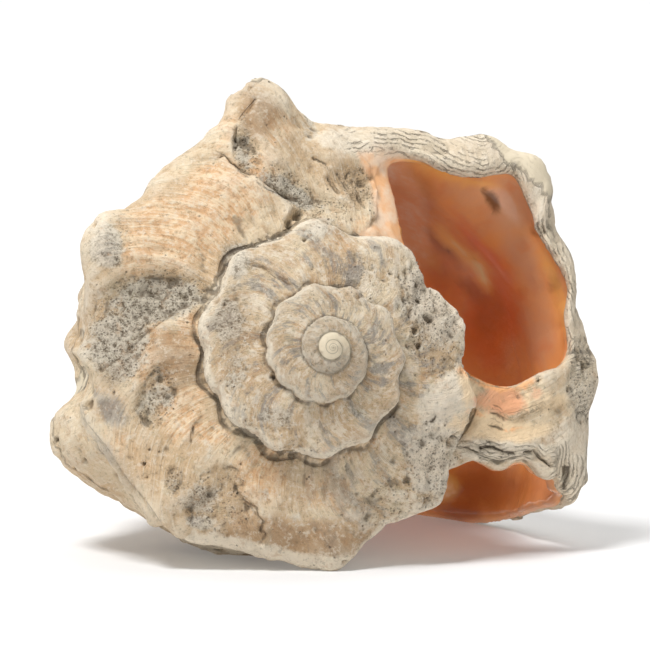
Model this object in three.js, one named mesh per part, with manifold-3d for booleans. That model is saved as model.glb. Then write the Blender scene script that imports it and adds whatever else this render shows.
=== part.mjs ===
// A worn sea shell of the knobbed whelk kind, lying on its side with its apex to the front.
// It grew as one piece: an outline that turns about the shell's axis and doubles its size in each turn.
import * as THREE from "three";
import { ParametricGeometry } from "three/addons/geometries/ParametricGeometry.js";
import { mergeVertices } from "three/addons/utils/BufferGeometryUtils.js";
import Module from "manifold-3d";

// Driving dimensions: millimetres, turns of the coil and degrees.
const apexRadius = 7.1; // radius of the shoulder where the turns are counted from
const growth = 2; // growth of the outline in one turn
const firstTurn = -2;
const bodyTurn = 2.25; // up to here the coil is the spire and the start of the last whorl
const mouthTurn = 3.064; // where the outer lip ends at the shoulder
const hollowTurn = 2.1; // the hollow is open from here to the mouth
const hollowOverlap = 0.05; // the hollow's two cuts overlap by this
const hollowPast = 0.08; // the hollow is cut this far past the lip
const tilt = [-105.6, -15.1, -2.6]; // how the shell lies, turned about X, Y and Z
const apexPlace = [1, -54.8, 37.4]; // the apex above the floor
const floorWidth = 400;
const floorDepth = 40;

// Knobs on the shoulder: [turn, height as a share of the shoulder radius].
const knobs = [
  [-0.26, 0.04],
  [-0.13, 0.04],
  [0, 0.05],
  [0.09, 0.07],
  [0.176, 0.1],
  [0.256, 0.1],
  [0.327, 0.1],
  [0.411, 0.1],
  [0.476, 0.1],
  [0.542, 0.1],
  [0.629, 0.1],
  [0.724, 0.1],
  [0.818, 0.1],
  [0.909, 0.1],
  [1.001, 0.1],
  [1.085, 0.1],
  [1.171, 0.1],
  [1.25, 0.1],
  [1.322, 0.1],
  [1.399, 0.1],
  [1.469, 0.09],
  [1.543, 0.09],
  [1.645, 0.09],
  [1.755, 0.09],
  [1.855, 0.09],
  [1.958, 0.09],
  [2.039, 0.09],
  [2.121, 0.1],
  [2.23, 0.11],
  [2.357, 0.09],
  [2.478, 0.05],
  [2.583, 0.09],
  [2.722, 0.17],
  [2.86, 0.1],
  [2.895, 0.1],
  [2.987, 0.02],
];
const knobWidth = 0.03; // half width of a knob, in turns
const knobReach = 0.13; // how far a knob spreads over the outline
const knobLift = 0.2; // share of its height that a knob leans towards the apex
const swellings = [
  [2.14, 0.05, 0.03],
  [2.27, 0.06, 0.03],
  [2.95, 0.09, 0.04],
]; // places where the whole outline is larger: [turn, half width, share]

// The outline of the whorl as [radius, depth], where the shoulder radius with its knobs is about 1.
// It runs from the suture over the shoulder and the belly to the canal, and back along the axis.
const outline = [
  [0.42, 0.29],
  [0.54, 0.335],
  [0.66, 0.365],
  [0.78, 0.4],
  [0.86, 0.435],
  [0.91, 0.49],
  [0.91, 0.56],
  [0.89, 0.7],
  [0.89, 0.86],
  [0.87, 1.06],
  [0.8, 1.26],
  [0.68, 1.45],
  [0.53, 1.6],
  [0.44, 1.7],
  [0.42, 1.8],
  [0.34, 1.92],
  [0.22, 1.95],
  [0.15, 1.85],
  [0.14, 1.6],
  [0.18, 1.2],
  [0.25, 0.8],
  [0.34, 0.45],
];
const outlineMiddle = new THREE.Vector2(0.5, 1);
const shoulder = new THREE.Vector2(0.91, 0.5);

// The belly's lump, which shows behind the shoulder on the left.
const lump = { turn: 2.455, width: 0.045, radius: 0.9, depth: 0.95, reach: 0.3, height: 0.13, lean: 0.3 };

// The lip runs on past the mouth along the suture, as a tongue on the ramp.
const tongue = { radius: 0.44, width: 0.1, turns: 0.05, rampEnd: 0.5 };

// The hollow's outline, a wall's thickness inside.
const hollowOutline = [
  [0.5, 0.4],
  [0.66, 0.43],
  [0.78, 0.475],
  [0.85, 0.53],
  [0.855, 0.62],
  [0.84, 0.75],
  [0.84, 0.88],
  [0.815, 1.03],
  [0.745, 1.21],
  [0.635, 1.39],
  [0.5, 1.56],
  [0.385, 1.73],
  [0.3, 1.86],
  [0.24, 1.88],
  [0.205, 1.78],
  [0.215, 1.55],
  [0.25, 1.25],
  [0.33, 0.95],
  [0.43, 0.75],
  [0.48, 0.56],
];
const hollowMiddle = new THREE.Vector2(0.56, 1);
const hollowPush = 0.8; // how much of a knob's height the hollow follows

// The worn-through window in the ramp: [turn, share of the shoulder radius, how far its edge is rounded away].
const windowOutline = [
  [2.79, 0.76, 0],
  [2.822, 0.74, 0.05],
  [2.84, 0.66, 0.09],
  [2.858, 0.58, 0.09],
  [2.885, 0.5, 0.06],
  [2.91, 0.45, 0],
  [2.95, 0.44, 0],
  [2.985, 0.45, 0],
  [3.003, 0.52, 0],
  [3.008, 0.62, 0],
  [2.998, 0.72, 0],
  [2.993, 0.81, 0],
  [2.975, 0.87, 0],
  [2.94, 0.89, 0],
  [2.905, 0.95, 0],
  [2.885, 0.95, 0],
  [2.86, 0.87, 0],
  [2.83, 0.85, 0],
  [2.805, 0.81, 0],
];
const windowMiddle = new THREE.Vector3(2.93, 0.68, 0);
const windowSides = 40;
const rampStart = 0.17; // the ramp's depth is about this, and more by the slope times its radius
const rampSlope = 0.3;

// The window's cutter in levels: [depth below the ramp, share of the rounding].
const windowLevels = [
  [0.16, 0],
  [0.16, 0],
  [0.05, 0],
  [0.02, 0.4],
  [-0.02, 1],
  [-0.2, 1.4],
  [-0.2, 1.4],
];

// The spire is solid about its axis down to the core's depth, and ends in a round nucleus.
const coreRadius = 3.2;
const coreDepth = 20;
const nucleusRadius = 1.5;
const nucleusDepth = 2;

// The coil is made in stretches, because a whole turn would run into itself.
const segmentTurns = 0.5;
const capReach = 0.02; // a stretch's end reaches this far into the next one, in turns
const tinyTurn = 1e-6;
const mergeDistance = 1e-4;
const whorl = { points: outline, middle: outlineMiddle, push: 1 };
const tipForm = { ...whorl, sides: 12, stepsPerTurn: 20 };
const spireForm = { ...whorl, sides: 14, stepsPerTurn: 48 };
const lastForm = { ...whorl, sides: 26, stepsPerTurn: 46 };
const hollowForm = {
  points: hollowOutline,
  middle: hollowMiddle,
  push: hollowPush,
  sides: 20,
  stepsPerTurn: 26,
};

const wasm = await Module();
wasm.setup();

function bell(value, middle, width) {
  const away = (value - middle) / width;
  return Math.exp(-away * away);
}

function knobHeight(turn) {
  return Math.max(...knobs.map(([at, height]) => height * bell(turn, at, knobWidth)));
}

function closedCurve(spots) {
  return new THREE.CatmullRomCurve3(spots, true, "catmullrom", 0.5);
}

// A point of the shell, from its place in the unit outline.
function place(radius, depth, turn, target) {
  const size = apexRadius * growth ** turn;
  const angle = turn * 2 * Math.PI;
  return target.set(
    size * radius * Math.cos(angle),
    size * radius * Math.sin(angle),
    size * depth,
  );
}

// The turn where a line along the whorl ends on the lip.
function lipTurn(spot) {
  const onRamp = spot.y < tongue.rampEnd;
  return mouthTurn + (onRamp ? tongue.turns * bell(spot.x, tongue.radius, tongue.width) : 0);
}

// The outline's point with the knobs, swellings and the lump of the belly added.
function pushed(spot, turn, share) {
  const away = Math.hypot(spot.x - shoulder.x, spot.y - shoulder.y);
  const knob = share * knobHeight(turn) * bell(away, 0, knobReach);
  const lumpAway = Math.hypot(spot.x - lump.radius, spot.y - lump.depth);
  const lumpShare = bell(turn, lump.turn, lump.width) * bell(lumpAway, 0, lump.reach);
  const bulge = share * lump.height * lumpShare;
  let swell = 1;
  for (const [at, width, height] of swellings) swell += height * bell(turn, at, width);
  return new THREE.Vector2(
    spot.x * swell + knob + bulge,
    spot.y - knobLift * knob + lump.lean * bulge,
  );
}

// A closed three.js geometry as a solid, with its shared vertices merged and its faces turned outwards.
function toSolid(geometry) {
  geometry.deleteAttribute("normal");
  geometry.deleteAttribute("uv");
  const merged = mergeVertices(geometry, mergeDistance);
  const corners = merged.index.array;
  const kept = [];
  for (let i = 0; i < corners.length; i += 3) {
    const [a, b, c] = corners.slice(i, i + 3);
    if (a !== b && b !== c && c !== a) kept.push(a, b, c);
  }
  const build = (triVerts) =>
    new wasm.Manifold(
      new wasm.Mesh({
        numProp: 3,
        vertProperties: merged.attributes.position.array,
        triVerts: new Uint32Array(triVerts),
      }),
    );
  const solid = build(kept);
  return solid.volume() > 0 ? solid : build(kept.reverse());
}

// One stretch of the coil, closed at both ends by rows that shrink to the outline's middle.
function coilStretch(form, from, to, endsOnLip, isLast) {
  const curve = closedCurve(form.points.map(([radius, depth]) => new THREE.Vector3(radius, depth, 0)));
  const steps = Math.max(2, Math.ceil((to - from) * form.stepsPerTurn));
  const farCap = isLast ? to : to + capReach;
  const geometry = new ParametricGeometry(
    (u, v, target) => {
      const row = Math.round(v * (steps + 2)) - 1;
      if (row < 0) return place(form.middle.x, form.middle.y, from - capReach, target);
      if (row > steps) return place(form.middle.x, form.middle.y, farCap, target);
      const spot = curve.getPoint(u % 1);
      const end = endsOnLip ? lipTurn(spot) : to;
      const turn = from + ((end - from) * row) / steps;
      const at = pushed(spot, turn, form.push);
      return place(at.x, at.y, turn, target);
    },
    form.sides,
    steps + 2,
  );
  return toSolid(geometry);
}

function coil(form, from, to, hasLip = false) {
  let solid = null;
  for (let start = from; start < to - tinyTurn; start += segmentTurns) {
    const end = Math.min(start + segmentTurns, to);
    const isLast = end === to;
    const stretch = coilStretch(form, start, end, hasLip && isLast, isLast);
    solid = solid ? solid.add(stretch) : stretch;
  }
  return solid;
}

// The cutter for the window follows the ramp: it widens upwards where the window's edge is rounded away.
function windowCutter() {
  const curve = closedCurve(
    windowOutline.map(([turn, share, away]) => new THREE.Vector3(turn, share, away)),
  );
  const rows = windowLevels.length - 1;
  const geometry = new ParametricGeometry(
    (u, v, target) => {
      const row = Math.round(v * rows);
      const [depth, flare] = windowLevels[row];
      const isCap = row === 0 || row === rows;
      const spot = isCap ? windowMiddle : curve.getPoint(u % 1);
      place(spot.y, rampStart + rampSlope * spot.y + depth, spot.x - spot.z * flare, target);
    },
    windowSides,
    rows,
  );
  return toSolid(geometry);
}

function toGeometry(made) {
  const mesh = made.getMesh();
  const geometry = new THREE.BufferGeometry();
  geometry.setAttribute("position", new THREE.BufferAttribute(mesh.vertProperties, 3));
  geometry.setIndex(new THREE.BufferAttribute(mesh.triVerts, 1));
  return geometry;
}

const core = new THREE.ConeGeometry(coreRadius, coreDepth, 12)
  .rotateX(-Math.PI / 2)
  .translate(0, 0, coreDepth / 2);
const nucleus = new THREE.SphereGeometry(nucleusRadius, 12, 8).translate(0, 0, nucleusDepth);

const spire = coil(tipForm, firstTurn, 0)
  .add(toSolid(nucleus))
  .add(toSolid(core))
  .add(coil(spireForm, 0, bodyTurn))
  .subtract(coil(hollowForm, hollowTurn, bodyTurn + hollowOverlap));
const lastWhorl = coil(lastForm, bodyTurn, mouthTurn, true)
  .subtract(coil(hollowForm, bodyTurn - hollowOverlap, mouthTurn + hollowPast))
  .subtract(windowCutter());

// How the shell lies on the floor, which has worn its lowest places flat.
const lying = new THREE.Matrix4().compose(
  new THREE.Vector3(...apexPlace),
  new THREE.Quaternion().setFromEuler(new THREE.Euler(...tilt.map(THREE.MathUtils.degToRad))),
  new THREE.Vector3(1, 1, 1),
);
const floor = new THREE.BoxGeometry(floorWidth, floorWidth, floorDepth)
  .translate(0, 0, -floorDepth / 2)
  .applyMatrix4(lying.clone().invert());
const solid = spire.add(lastWhorl).subtract(toSolid(floor));

const material = new THREE.MeshStandardMaterial({ color: 0xd9c3a5, roughness: 0.75, metalness: 0 });
const shell = new THREE.Mesh(toGeometry(solid), material);
shell.name = "shell";
shell.applyMatrix4(lying);

const group = new THREE.Group();
group.add(shell);
export default group;
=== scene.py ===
import math
import bpy
import bmesh
import numpy as np
from mathutils import Matrix, Vector
from mathutils.kdtree import KDTree


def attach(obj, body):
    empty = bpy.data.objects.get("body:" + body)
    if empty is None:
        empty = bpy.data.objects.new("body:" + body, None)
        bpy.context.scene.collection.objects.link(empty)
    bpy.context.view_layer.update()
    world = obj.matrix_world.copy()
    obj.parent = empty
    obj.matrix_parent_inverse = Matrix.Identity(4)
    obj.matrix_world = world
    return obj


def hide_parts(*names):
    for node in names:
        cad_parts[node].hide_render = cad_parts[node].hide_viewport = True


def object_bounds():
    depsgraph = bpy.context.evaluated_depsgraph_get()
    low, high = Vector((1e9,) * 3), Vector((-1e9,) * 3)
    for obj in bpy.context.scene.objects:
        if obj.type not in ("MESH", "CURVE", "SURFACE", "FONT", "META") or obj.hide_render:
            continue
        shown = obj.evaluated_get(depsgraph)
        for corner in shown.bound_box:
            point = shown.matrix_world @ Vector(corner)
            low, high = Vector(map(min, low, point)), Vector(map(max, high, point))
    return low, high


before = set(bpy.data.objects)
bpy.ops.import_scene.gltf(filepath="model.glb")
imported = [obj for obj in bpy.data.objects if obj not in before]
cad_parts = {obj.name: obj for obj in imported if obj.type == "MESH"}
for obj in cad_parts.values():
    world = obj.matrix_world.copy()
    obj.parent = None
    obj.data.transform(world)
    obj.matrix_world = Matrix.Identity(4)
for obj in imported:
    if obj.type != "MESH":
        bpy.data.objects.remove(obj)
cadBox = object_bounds()
print("frame loaded")

# how the coil grows and how the shell lies; lengths in metres, along the coil in turns
growth = {
    "apexRadius": 0.0071,
    "perTurn": 2.0,
    "firstTurn": -2.0,
    "bodyTurn": 2.25,
    "mouthTurn": 3.064,
    "hollowTurn": 2.1,
    "tilt": (-105.6, -15.1, -2.6),
    "apexPlace": (0.001, -0.0548, 0.0374),
    "middle": (0.5, 1),
    "hollowMiddle": (0.56, 1),
    "hollowPush": 0.8,
    "overlap": 0.05,
    "pastMouth": 0.08,
    "capTurns": 0.02,
    "spireSteps": 90,
    "lastSteps": 200,
    "ringPoints": 84,
    "voxel": 0.00043,
    "faces": 196000,
}

# the outline of a whorl as (radius, depth), in shares of the shoulder radius
outline = (
    (0.42, 0.29), (0.54, 0.335), (0.66, 0.365), (0.78, 0.4), (0.86, 0.435), (0.91, 0.49), (0.91, 0.56),
    (0.89, 0.7), (0.89, 0.86), (0.87, 1.06), (0.8, 1.26), (0.68, 1.45), (0.53, 1.6), (0.44, 1.7),
    (0.42, 1.8), (0.34, 1.92), (0.22, 1.95), (0.15, 1.85), (0.14, 1.6), (0.18, 1.2), (0.25, 0.8),
    (0.34, 0.45),
)
hollowOutline = (
    (0.5, 0.4), (0.66, 0.43), (0.78, 0.475), (0.85, 0.53), (0.855, 0.62), (0.84, 0.75), (0.84, 0.88),
    (0.815, 1.03), (0.745, 1.21), (0.635, 1.39), (0.5, 1.56), (0.385, 1.73), (0.3, 1.86), (0.24, 1.88),
    (0.205, 1.78), (0.215, 1.55), (0.25, 1.25), (0.33, 0.95), (0.43, 0.75), (0.48, 0.56),
)

# knobs on the shoulder: (turn, height)
knobs = (
    (-0.26, 0.04), (-0.13, 0.04), (0, 0.05), (0.09, 0.07), (0.176, 0.1), (0.256, 0.1), (0.327, 0.1),
    (0.411, 0.1), (0.476, 0.1), (0.542, 0.1), (0.629, 0.1), (0.724, 0.1), (0.818, 0.1), (0.909, 0.1),
    (1.001, 0.1), (1.085, 0.1), (1.171, 0.1), (1.25, 0.1), (1.322, 0.1), (1.399, 0.1), (1.469, 0.09),
    (1.543, 0.09), (1.645, 0.09), (1.755, 0.09), (1.855, 0.09), (1.958, 0.09), (2.039, 0.09),
    (2.121, 0.1), (2.23, 0.11), (2.357, 0.09), (2.478, 0.05), (2.583, 0.09), (2.722, 0.17), (2.86, 0.1),
    (2.895, 0.1), (2.987, 0.02),
)
knobShape = {"radius": 0.91, "depth": 0.5, "reach": 0.13, "width": 0.03, "droop": 0.2}
# (turn, width, height)
swellings = ((2.14, 0.05, 0.03), (2.27, 0.06, 0.03), (2.95, 0.09, 0.04))
lump = {"turn": 2.455, "width": 0.045, "radius": 0.9, "depth": 0.95, "reach": 0.3,
        "height": 0.13, "lean": 0.3}
tongue = {"radius": 0.44, "width": 0.1, "turns": 0.05, "rampEnd": 0.5, "from": 2.75}
# waves of the lip: (radius, width, turns)
lipWaves = ((0.62, 0.03, 0.007), (0.74, 0.04, -0.003), (0.82, 0.022, -0.012), (0.9, 0.03, -0.004))

# the hole worn in the ramp: (turn, share of the shoulder radius, how far the edge is rounded)
windowOutline = (
    (2.8215, 0.765, 0.032), (2.84, 0.66, 0.09), (2.858, 0.58, 0.09), (2.885, 0.5, 0.06), (2.91, 0.45, 0),
    (2.95, 0.44, 0), (2.985, 0.45, 0), (3.003, 0.52, 0), (3.009, 0.61, 0), (3.004, 0.69, 0),
    (2.997, 0.77, 0), (2.992, 0.83, 0), (2.981, 0.875, 0), (2.96, 0.895, 0), (2.937, 0.9, 0),
    (2.919, 0.925, 0), (2.908, 0.945, 0), (2.896, 0.96, 0), (2.888, 0.955, 0), (2.882, 0.935, 0),
    (2.876, 0.905, 0), (2.868, 0.875, 0.004), (2.851, 0.851, 0.01), (2.838, 0.84, 0.014),
    (2.8245, 0.805, 0.02),
)
windowLevels = ((0.12, 0), (0.05, 0), (0.035, 0.12), (0.02, 0.4), (0, 0.75), (-0.02, 1), (-0.2, 1.4))
windowMiddle = (2.93, 0.68)
rampLine = {"depth": 0.17, "slope": 0.3}    # the ramp's depth at the axis, and how it falls with the radius


def smoothLoop(points, count):
    # even steps along a closed Catmull-Rom curve
    points = np.array(points, float)
    at = np.arange(count) / count * len(points)
    start = at.astype(int)
    share = (at - start)[:, None]
    a, b, c, d = (points[(start + k) % len(points)] for k in (-1, 0, 1, 2))
    return 0.5 * (2 * b + (c - a) * share + (2 * a - 5 * b + 4 * c - d) * share ** 2
                  + (3 * b - a - 3 * c + d) * share ** 3)


def bell(value, middle, width):
    return np.exp(-((value - middle) / width) ** 2)


def sizeAt(turn):
    return growth["apexRadius"] * growth["perTurn"] ** turn


def placed(radius, depth, turn):
    # a point of the shell from its place in the outline
    size = sizeAt(turn)
    angle = turn * 2 * math.pi
    return np.stack((size * radius * np.cos(angle), size * radius * np.sin(angle), size * depth), -1)


def knobHeight(turn):
    return np.max([height * bell(turn, at, knobShape["width"]) for at, height in knobs], axis=0)


def pushed(radius, depth, turn, share):
    # knobs, swellings and the belly's lump moved into the outline
    away = np.hypot(radius - knobShape["radius"], depth - knobShape["depth"])
    knob = share * knobHeight(turn) * bell(away, 0, knobShape["reach"])
    lumpAway = np.hypot(radius - lump["radius"], depth - lump["depth"])
    bulge = share * lump["height"] * bell(turn, lump["turn"], lump["width"])
    bulge = bulge * bell(lumpAway, 0, lump["reach"])
    swell = 1 + sum(height * bell(turn, at, width) for at, width, height in swellings)
    return radius * swell + knob + bulge, depth - knobShape["droop"] * knob + lump["lean"] * bulge


def vectorsOf(data, name):
    flat = np.empty(len(data) * 3)
    data.foreach_get(name, flat)
    return flat.reshape(-1, 3)


def coords(mesh):
    return vectorsOf(mesh.vertices, "co")


def setCoords(mesh, points):
    mesh.vertices.foreach_set("co", np.asarray(points, float).ravel())
    mesh.update()


def newObject(name, mesh):
    made = bpy.data.objects.new(name, mesh)
    bpy.context.scene.collection.objects.link(made)
    return made


def extruded(bm, edges):
    # these edges are extruded: the new boundary edges and the new vertices
    made = bmesh.ops.extrude_edge_only(bm, edges=edges)["geom"]
    edges = [item for item in made if isinstance(item, bmesh.types.BMEdge) and item.is_boundary]
    return edges, [item for item in made if isinstance(item, bmesh.types.BMVert)]


def objectFrom(bm, name):
    mesh = bpy.data.meshes.new(name)
    bm.to_mesh(mesh)
    bm.free()
    return newObject(name, mesh)


def closeRim(bm, verts, spot):
    # the open rim round these vertices closes on one spot
    rim = set(verts)
    edges = [edge for edge in bm.edges if edge.is_boundary and edge.verts[0] in rim and edge.verts[1] in rim]
    bmesh.ops.pointmerge(bm, verts=extruded(bm, edges)[1], merge_co=Vector(spot))


def growCoil(name, points, middle, fromTurn, toTurn, steps, push, hasLip=False):
    # one ring is extruded, turned and enlarged step by step, and both ends close on the outline's middle
    bm = bmesh.new()
    ring = smoothLoop(points, growth["ringPoints"])
    verts = bmesh.ops.create_circle(bm, segments=len(ring), radius=1)["verts"]
    for vert, spot in zip(verts, placed(ring[:, 0], ring[:, 1], fromTurn)):
        vert.co = spot
    count = max(2, round((toTurn - fromTurn) * steps))
    stepTurn = (toTurn - fromTurn) / count
    matrix = Matrix.Rotation(stepTurn * 2 * math.pi, 4, "Z") @ Matrix.Scale(growth["perTurn"] ** stepTurn, 4)
    edges = bm.edges[:]
    for _ in range(count):
        edges, verts = extruded(bm, edges)
        bmesh.ops.transform(bm, matrix=matrix, verts=verts)
    rowCount = count + 1
    mesh = bpy.data.meshes.new(name)
    bm.verts.index_update()
    bm.to_mesh(mesh)
    bm.free()

    # vertices come ring by ring, so their turn is known
    turn = fromTurn + np.repeat(np.arange(rowCount) / count, len(ring)) * (toTurn - fromTurn)
    points = coords(mesh)
    size = sizeAt(turn)
    radius = np.hypot(points[:, 0], points[:, 1]) / size
    depth = points[:, 2] / size
    if hasLip:
        reach = tongue["turns"] * bell(radius, tongue["radius"], tongue["width"])
        reach = reach + sum(more * bell(radius, at, width) for at, width, more in lipWaves)
        share = np.clip((turn - tongue["from"]) / (toTurn - tongue["from"]), 0, 1)
        turn = turn + reach * (depth < tongue["rampEnd"]) * share
    newRadius, newDepth = pushed(radius, depth, turn, push)
    setCoords(mesh, placed(newRadius, newDepth, turn))

    bm = bmesh.new()
    bm.from_mesh(mesh)
    bm.verts.ensure_lookup_table()
    firstRing, lastRing = bm.verts[:len(ring)], bm.verts[-len(ring):]
    closeRim(bm, firstRing, placed(*middle, fromTurn - growth["capTurns"]))
    closeRim(bm, lastRing, placed(*middle, toTurn if hasLip else toTurn + growth["capTurns"]))
    bmesh.ops.recalc_face_normals(bm, faces=bm.faces)
    bm.to_mesh(mesh)
    bm.free()
    return newObject(name, mesh)


def rampDepth(radius):
    return rampLine["depth"] + rampLine["slope"] * radius


def growCutter():
    # the cutter for the worn hole: rings above each other that follow the ramp
    spots = smoothLoop(windowOutline, 90)
    bm = bmesh.new()
    ring = bmesh.ops.create_circle(bm, segments=len(spots), radius=1)["verts"]
    firstRing = ring
    edges = bm.edges[:]
    for level, (depth, flare) in enumerate(windowLevels):
        if level:
            edges, ring = extruded(bm, edges)
        places = placed(spots[:, 1], rampDepth(spots[:, 1]) + depth, spots[:, 0] - spots[:, 2] * flare)
        for vert, spot in zip(ring, places):
            vert.co = spot
    for rim, depth in ((firstRing, windowLevels[0][0]), (ring, windowLevels[-1][0])):
        closeRim(bm, rim, placed(windowMiddle[1], rampDepth(windowMiddle[1]) + depth, windowMiddle[0]))
    bmesh.ops.recalc_face_normals(bm, faces=bm.faces)
    return objectFrom(bm, "windowCutter")


def withModifier(thing, kind, **settings):
    # the object's mesh with one modifier applied
    modifier = thing.modifiers.new(kind, kind)
    for key, value in settings.items():
        setattr(modifier, key, value)
    mesh = bpy.data.meshes.new_from_object(thing.evaluated_get(bpy.context.evaluated_depsgraph_get()))
    thing.modifiers.clear()
    thing.data = mesh
    return thing


def cut(thing, *cutters):
    for cutter in cutters:
        withModifier(thing, "BOOLEAN", operation="DIFFERENCE", solver="MANIFOLD", object=cutter)
    return thing


# the whorls and the hollow, as solids
lastWhorl = growCoil("lastWhorl", outline, growth["middle"], growth["bodyTurn"], growth["mouthTurn"],
                     growth["lastSteps"], 1, hasLip=True)
spire = growCoil("spire", outline, growth["middle"], growth["firstTurn"], growth["bodyTurn"],
                 growth["spireSteps"], 1)
hollow, innerHollow = (
    growCoil(name, hollowOutline, growth["hollowMiddle"], low, high, growth["lastSteps"],
             growth["hollowPush"])
    for name, low, high in (
        ("hollow", growth["bodyTurn"] - growth["overlap"], growth["mouthTurn"] + growth["pastMouth"]),
        ("innerHollow", growth["hollowTurn"], growth["bodyTurn"] + growth["overlap"])))
cutter = growCutter()
print("whorls grown", len(lastWhorl.data.vertices), len(spire.data.vertices))

# a cone and a ball fill the axis and the tip
bm = bmesh.new()
bm.from_mesh(spire.data)
bmesh.ops.create_cone(bm, cap_ends=True, segments=24, radius1=0, radius2=0.0032, depth=0.02,
                      matrix=Matrix.Translation((0, 0, 0.01)))
bmesh.ops.create_uvsphere(bm, u_segments=24, v_segments=16, radius=0.0015,
                          matrix=Matrix.Translation((0, 0, 0.002)))
bm.to_mesh(spire.data)
bm.free()

withModifier(spire, "REMESH", mode="VOXEL", voxel_size=growth["voxel"], use_smooth_shade=True)
cut(spire, innerHollow)
cut(lastWhorl, hollow, cutter)
bm = bmesh.new()
bm.from_mesh(spire.data)
bm.from_mesh(lastWhorl.data)
shell = objectFrom(bm, "shellSurface")
withModifier(shell, "REMESH", mode="VOXEL", voxel_size=growth["voxel"], use_smooth_shade=True)
for used in (lastWhorl, spire, hollow, innerHollow, cutter):
    bpy.data.objects.remove(used)
print("surface made", len(shell.data.vertices))


lattice = np.random.default_rng(5).random((64, 64, 64))


def noise(spots, size, seed=0):
    # smooth noise from -1 to 1 with features of that size
    at = spots / size + 11.7 * seed + 100
    start = np.floor(at).astype(int)
    share = at - start
    share = share * share * (3 - 2 * share)
    total = 0
    for corner in np.ndindex(2, 2, 2):
        weights = [share[:, axis] if corner[axis] else 1 - share[:, axis] for axis in range(3)]
        places = tuple((start[:, axis] + corner[axis]) & 63 for axis in range(3))
        total = total + np.prod(weights, axis=0) * lattice[places]
    return 2 * total - 1


def cloud(spots, size, octaves=4, seed=0):
    return sum(noise(spots, size / 2 ** step, seed + step) * 0.55 ** step for step in range(octaves))


def ramp(value, low, high):
    share = np.clip((value - low) / (high - low), 0, 1)
    return share * share * (3 - 2 * share)


def outlineTable(points, step=0.006):
    # for each place in the outline's plane: the distance to the outline, and the length along it
    loop = smoothLoop(points, 400)
    along = np.concatenate(([0], np.cumsum(np.linalg.norm(np.diff(loop, axis=0), axis=1))))
    radius, depth = np.meshgrid(np.arange(0, 1.5, step), np.arange(0, 2.4, step), indexing="ij")
    gap = np.full(radius.shape, np.inf)
    length = np.zeros(radius.shape)
    for spot, reach in zip(loop, along):
        away = np.hypot(radius - spot[0], depth - spot[1])
        closer = away < gap
        gap[closer] = away[closer]
        length[closer] = reach
    return gap, length, step


def lookUp(table, radius, depth):
    # values between the table's places, and the distance beyond the table
    gap, length, step = table
    i = np.clip(radius / step, 0, gap.shape[0] - 1.001)
    j = np.clip(depth / step, 0, gap.shape[1] - 1.001)
    a, b = i.astype(int), j.astype(int)
    i, j = i - a, j - b
    near = length[np.round(a + i).astype(int), np.round(b + j).astype(int)]
    total, reach = 0, 0
    for da, db in ((0, 0), (1, 0), (0, 1), (1, 1)):
        weight = (i if da else 1 - i) * (j if db else 1 - j)
        total = total + gap[a + da, b + db] * weight
        corner = length[a + da, b + db]
        reach = reach + np.where(np.abs(corner - near) < 0.3, corner, near) * weight
    return total, reach


def locate(spots, table, share, low, high):
    # on the nearest whorl: the distance to the outline, the turn, radius and depth, and the length along it
    flat = np.hypot(spots[:, 0], spots[:, 1])
    angle = np.arctan2(spots[:, 1], spots[:, 0]) / (2 * math.pi) % 1
    best = [np.full(len(spots), 9.0)] + [np.zeros(len(spots)) for _ in range(4)]
    for whole in range(math.floor(low), math.ceil(high)):
        turn = whole + angle
        size = sizeAt(turn)
        radius, depth = flat / size, spots[:, 2] / size
        plainRadius, plainDepth = radius, depth
        for _ in range(2):
            newRadius, newDepth = pushed(plainRadius, plainDepth, turn, share)
            plainRadius, plainDepth = plainRadius + radius - newRadius, plainDepth + depth - newDepth
        gap, length = lookUp(table, plainRadius, plainDepth)
        gap = gap * size + np.clip(low - turn, 0, None) + np.clip(turn - high, 0, None)
        closer = gap < best[0]
        for store, values in zip(best, (gap, turn, plainRadius, plainDepth, length)):
            store[closer] = values[closer]
    return best


def edgesOf(mesh):
    ends = np.empty(len(mesh.edges) * 2, int)
    mesh.edges.foreach_get("vertices", ends)
    return ends.reshape(-1, 2).T


def spread(values, times=1):
    # each value becomes the mean of its neighbours' values
    values = np.asarray(values, float)
    for _ in range(times):
        sums = [np.bincount(edgeStart, column[edgeEnd], count)
                + np.bincount(edgeEnd, column[edgeStart], count) for column in values.reshape(count, -1).T]
        values = np.stack([total / degree for total in sums], -1).reshape(values.shape)
    return values


def normalsOf(mesh):
    return vectorsOf(mesh.vertex_normals, "vector")


skinTurns, wallTurns = (-2, 3.13), (2.08, 3.15)
wear = {"cutGap": 0.0006, "rounds": 26, "everywhere": 0.15, "atEdges": 0.65}
skinTable, wallTable = outlineTable(outline), outlineTable(hollowOutline)
points = coords(shell.data)
skinGap, turn, radius, depth, length = locate(points, skinTable, 1, *skinTurns)
wallGap = locate(points, wallTable, growth["hollowPush"], *wallTurns)[0]
size = sizeAt(turn)
count = len(points)
edgeStart, edgeEnd = edgesOf(shell.data)
degree = np.bincount(edgeStart, minlength=count) + np.bincount(edgeEnd, minlength=count)
print("surface located")

# worn edges: the cut faces of the lip and of the hole are rounded
inside = (wallGap < skinGap).astype(float)
cutFace = ((skinGap > wear["cutGap"]) & (wallGap > wear["cutGap"])).astype(float)
edgeShare = np.clip(spread(cutFace, 4) * 2.2, 0, 1)
for _ in range(wear["rounds"]):
    points += (spread(points) - points) * (wear["everywhere"] + wear["atEdges"] * edgeShare)[:, None]
setCoords(shell.data, points)
insideShare = spread(inside, 2)
print("edges worn")

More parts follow.
